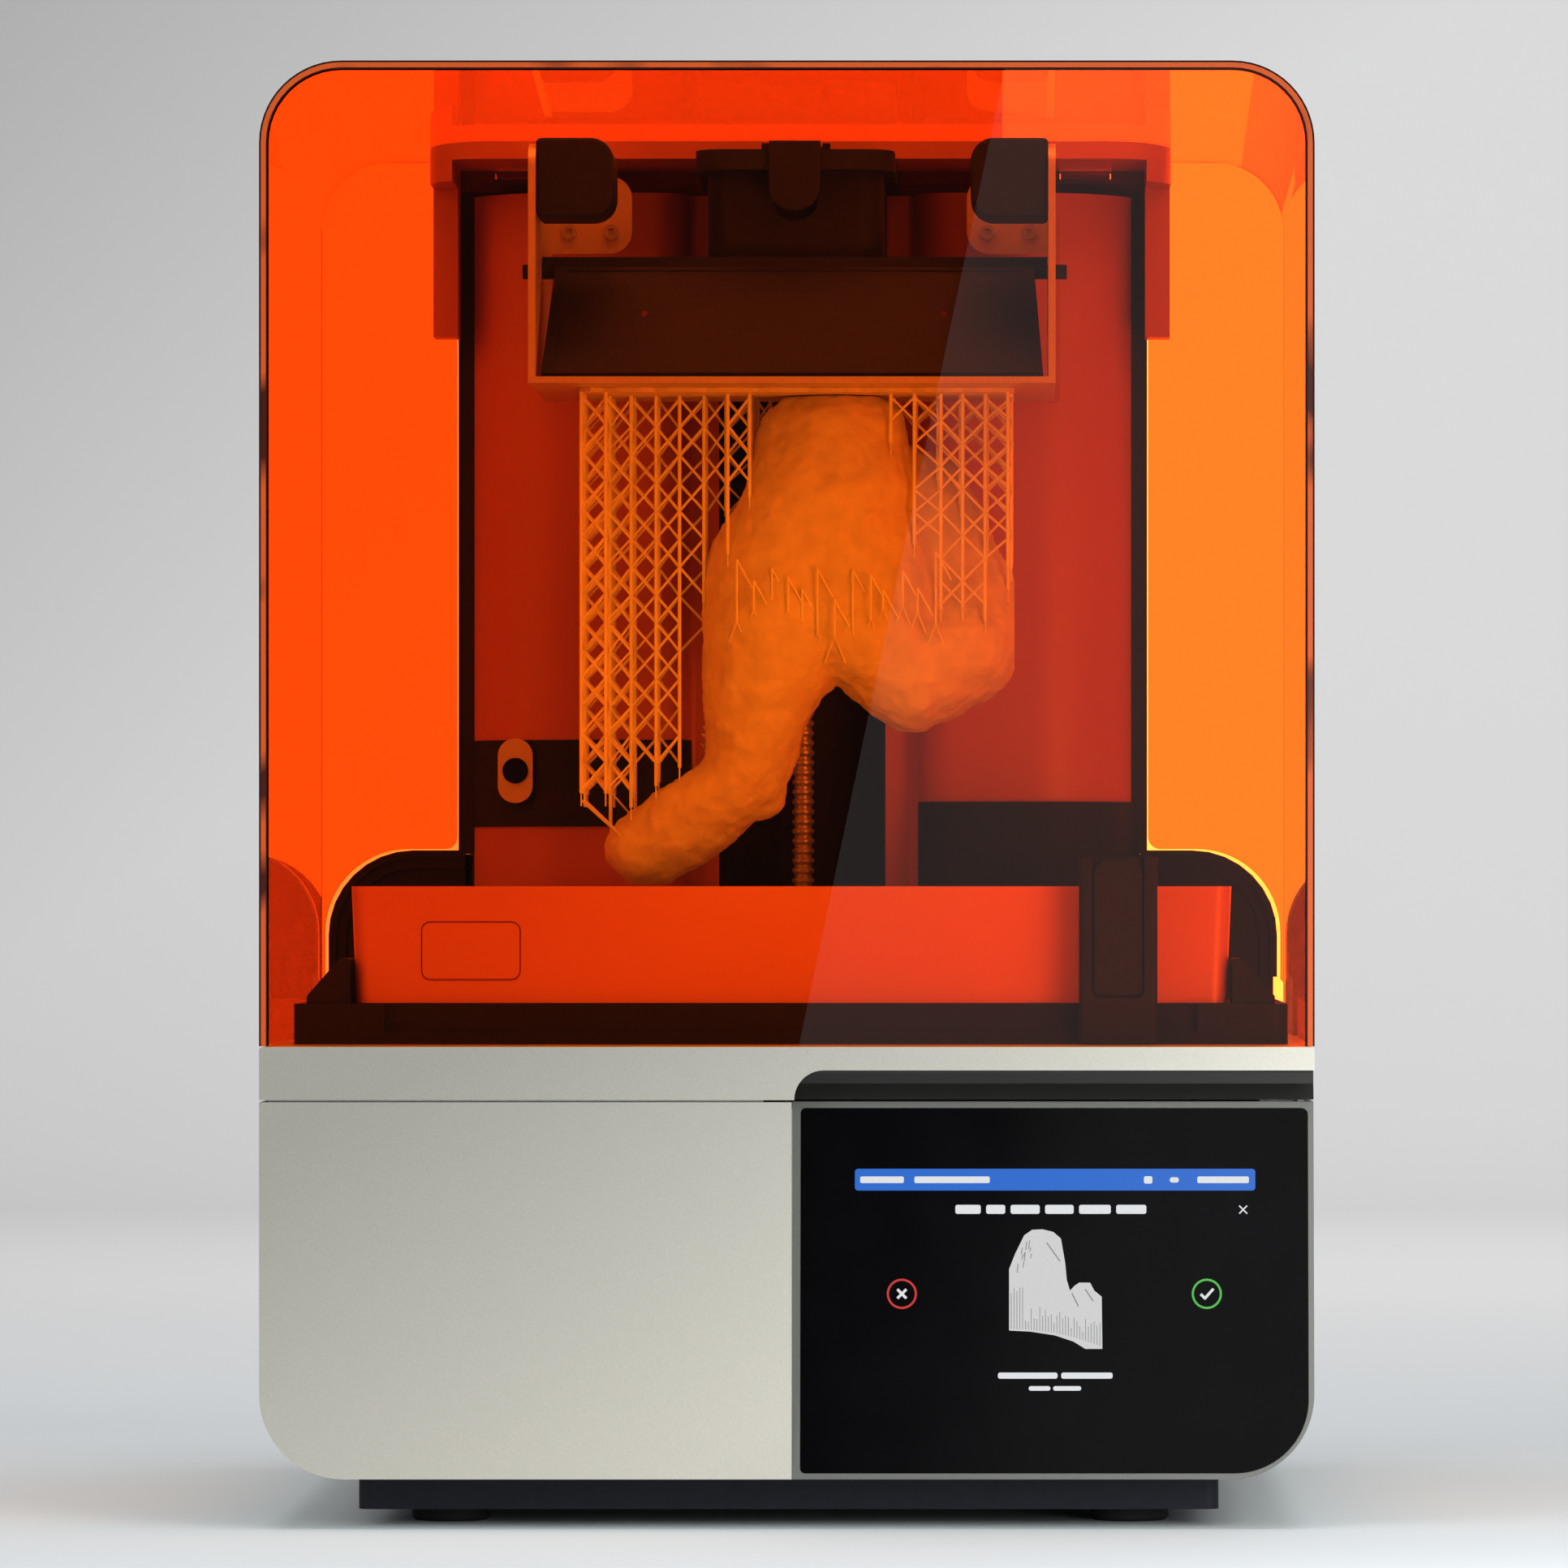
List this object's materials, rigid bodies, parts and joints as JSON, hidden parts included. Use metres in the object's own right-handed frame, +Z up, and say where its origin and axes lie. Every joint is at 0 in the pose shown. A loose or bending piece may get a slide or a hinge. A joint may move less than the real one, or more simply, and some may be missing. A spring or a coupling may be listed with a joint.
{
  "type": "resin printer",
  "caption": "Desktop resin printer with a tinted hinged cover, tilted touch screen, vat with mixing arm and a platform that carries a finished print.",
  "frame": {"origin": "centre of the footprint, on the surface that the feet stand on", "axes": "+X to the user's right, +Y from the front to the back, +Z up"},
  "size_m": [0.398, 0.367, 0.554],
  "materials": {
    "body_paint": "satin, fine metallic grain",
    "bezel_paint": "satin",
    "screen_black": "gloss",
    "black_plastic": "fine grain",
    "rubber": "matte",
    "circuit_board": "satin",
    "clear_lens": "clear",
    "lcd_glass": "gloss",
    "aluminium": "machined",
    "zinc_steel": "brushed",
    "brass": "machined",
    "tower_paint": "satin",
    "camera_plate": "satin",
    "lens_black": "gloss",
    "tank_orange": "satin",
    "bottle_grey": "satin",
    "amber_acrylic": "clear gloss",
    "platform_metal": "satin",
    "resin_print": "matte"
  },
  "bodies": {
    "root": {"lower_shell": "body_paint", "deck_frame": "body_paint", "screen_bezel": "bezel_paint", "screen_glass": "screen_black", "plinth": "black_plastic", "rear_housing": "black_plastic", "light_engine_housing": "black_plastic", "light_fan_frame": "black_plastic", "exhaust_fan_frame": "black_plastic", "rear_connectors": "black_plastic", "tower_back_cover": "black_plastic", "tank_carrier": "black_plastic", "wedge_guides": "black_plastic", "air_heater": "black_plastic", "camera_band": "black_plastic", "display_module": "black_plastic", "rubber_feet": "rubber", "mixer_belt": "rubber", "led_board": "circuit_board", "control_board": "circuit_board", "lens_array": "clear_lens", "lcd_mask": "lcd_glass", "heat_sink": "aluminium", "chassis_frame": "aluminium", "linear_rails": "aluminium", "screw_bearings": "aluminium", "power_supply": "zinc_steel", "z_motor": "zinc_steel", "mixer_motor": "zinc_steel", "mixer_rail": "zinc_steel", "hinge_pins": "zinc_steel", "hinge_brackets": "zinc_steel", "tower_shell": "tower_paint", "camera_plate": "camera_plate", "camera_lens": "lens_black"},
    "cover": {"cover_front_panel": "amber_acrylic", "cover_wrap": "amber_acrylic", "cover_rear_panel": "amber_acrylic", "hinge_yoke": "tower_paint"},
    "carriage": {"carriage_block": "aluminium", "lead_nut": "brass", "carriage_arm": "black_plastic"},
    "platform": {"build_plate": "platform_metal", "platform_screws": "zinc_steel", "platform_grips": "black_plastic", "drip_shield": "black_plastic", "printed_model": "resin_print"},
    "latch": {"latch_tab": "black_plastic"},
    "screw": {"lead_screw": "zinc_steel", "screw_coupler": "zinc_steel"},
    "tank": {"tank_frame": "tank_orange", "tank_film": "clear_lens"},
    "blade": {"mixer_blade": "black_plastic"},
    "mixer": {"mixer_arm": "black_plastic"},
    "drive_pulley": {"mixer_pulley_drive": "black_plastic"},
    "idler_pulley": {"mixer_pulley_idler": "black_plastic"},
    "cartridge": {"resin_cartridge": "bottle_grey"},
    "switch": {"power_switch": "black_plastic"},
    "light_rotor": {"light_fan_rotor": "black_plastic"},
    "exhaust_rotor": {"exhaust_fan_rotor": "black_plastic"}
  },
  "joints": [
    {"name": "cover_hinge", "type": "hinge", "parent": "root", "child": "cover", "pos_m": [0, 0.0925, 0.536], "axis": [-1, 0, 0], "range_deg": [0, 70]},
    {"name": "z_slide", "type": "slide", "parent": "root", "child": "carriage", "axis": [0, 0, 1], "range_m": [-0.233, 0], "deforming": ["printed_model"]},
    {"name": "screw_spin", "type": "hinge", "parent": "root", "child": "screw", "pos_m": [0, 0.09, 0.3], "axis": [0, 0, 1], "continuous": true},
    {"name": "platform_slide", "type": "slide", "parent": "carriage", "child": "platform", "axis": [0, -1, 0], "range_m": [0, 0.03]},
    {"name": "latch_hinge", "type": "hinge", "parent": "carriage", "child": "latch", "pos_m": [0, -0.035, 0.5328], "axis": [-1, 0, 0], "range_deg": [0, 18]},
    {"name": "tank_lift", "type": "slide", "parent": "root", "child": "tank", "axis": [0, 0, 1], "range_m": [0, 0.022]},
    {"name": "mixer_slide", "type": "slide", "parent": "root", "child": "mixer", "axis": [1, 0, 0], "range_m": [-0.2512, 0]},
    {"name": "blade_slide", "type": "slide", "parent": "tank", "child": "blade", "axis": [1, 0, 0], "range_m": [-0.2512, 0]},
    {"name": "drive_pulley_spin", "type": "hinge", "parent": "root", "child": "drive_pulley", "pos_m": [0.156, -0.12, 0.172], "axis": [0, 0, 1], "continuous": true},
    {"name": "idler_pulley_spin", "type": "hinge", "parent": "root", "child": "idler_pulley", "pos_m": [-0.156, -0.12, 0.172], "axis": [0, 0, 1], "continuous": true},
    {"name": "cartridge_lift", "type": "slide", "parent": "root", "child": "cartridge", "axis": [0, 0, 1], "range_m": [0, 0.12]},
    {"name": "switch_rock", "type": "hinge", "parent": "root", "child": "switch", "pos_m": [0.014, 0.177, 0.06], "axis": [1, 0, 0], "range_deg": [0, 16]},
    {"name": "light_fan_spin", "type": "hinge", "parent": "root", "child": "light_rotor", "pos_m": [0, 0.038, 0.048], "axis": [0, 1, 0], "continuous": true},
    {"name": "exhaust_fan_spin", "type": "hinge", "parent": "root", "child": "exhaust_rotor", "pos_m": [-0.137, 0.1725, 0.094], "axis": [0, 1, 0], "continuous": true}
  ],
  "couplings": [
    {"joint": "screw_spin", "follows": "z_slide", "rad_per_m": 1570.8},
    {"joint": "blade_slide", "follows": "mixer_slide", "ratio": 1},
    {"joint": "drive_pulley_spin", "follows": "mixer_slide", "rad_per_m": 127.4},
    {"joint": "idler_pulley_spin", "follows": "mixer_slide", "rad_per_m": 127.4}
  ]
}
